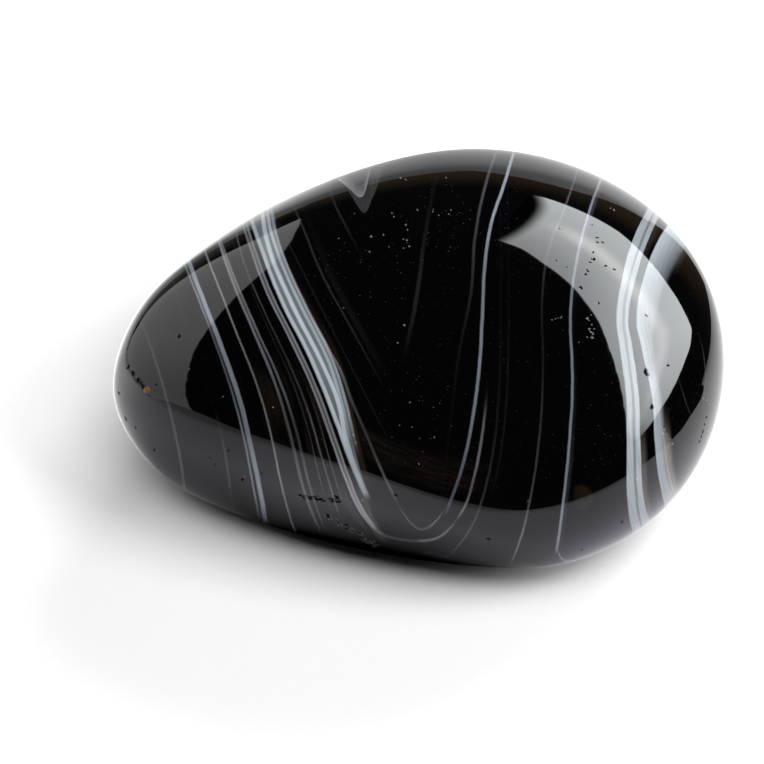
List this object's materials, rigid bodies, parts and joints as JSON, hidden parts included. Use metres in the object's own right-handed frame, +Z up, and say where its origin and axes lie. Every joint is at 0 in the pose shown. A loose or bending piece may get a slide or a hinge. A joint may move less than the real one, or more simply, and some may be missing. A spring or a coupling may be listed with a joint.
{
  "type": "onyx stone",
  "caption": "Smooth polished black onyx pebble with fine white curved bands, broad at one end and drawn out to a blunt point at the other, lying on a small worn flat.",
  "frame": {"origin": "on the ground, under the middle of the outline seen from above", "axes": "+X along the length, towards the broad end; +Y across, away from the front; +Z up"},
  "size_m": [0.0358, 0.0318, 0.0166],
  "materials": {
    "onyx": "polished black with fine white bands"
  },
  "bodies": {
    "root": {"stone": "onyx"}
  },
  "joints": []
}
